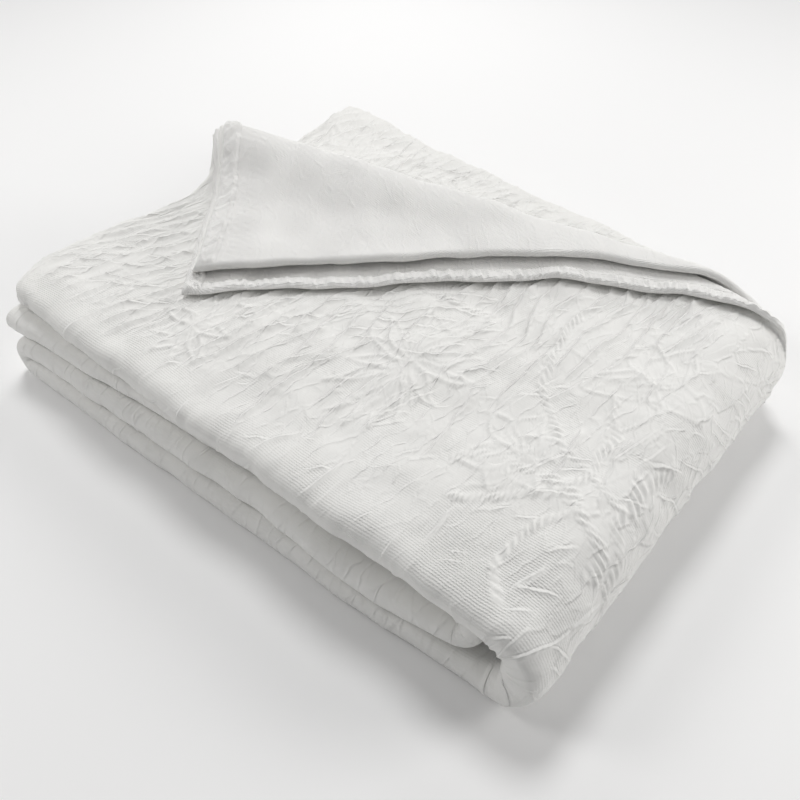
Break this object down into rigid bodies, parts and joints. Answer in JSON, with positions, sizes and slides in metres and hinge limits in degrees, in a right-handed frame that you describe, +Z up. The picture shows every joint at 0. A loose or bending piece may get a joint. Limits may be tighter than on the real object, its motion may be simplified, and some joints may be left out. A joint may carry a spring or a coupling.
{
  "type": "bedspread",
  "caption": "Folded quilted cotton bedspread in a flat rectangular bundle, with its upper layers turned back at one rear corner.",
  "frame": {"origin": "middle of the folded bundle's box, at the height of the surface that it lies on", "axes": "+X along the long side of the bundle, from the turned-back corner to the rounded end; +Y from the rounded front folds to the back; +Z up"},
  "size_m": [0.668, 0.5521, 0.1641],
  "materials": {
    "cotton": "matt white cotton with a raised quilted weave"
  },
  "bodies": {
    "root": {"bedspread": "cotton"}
  },
  "joints": []
}
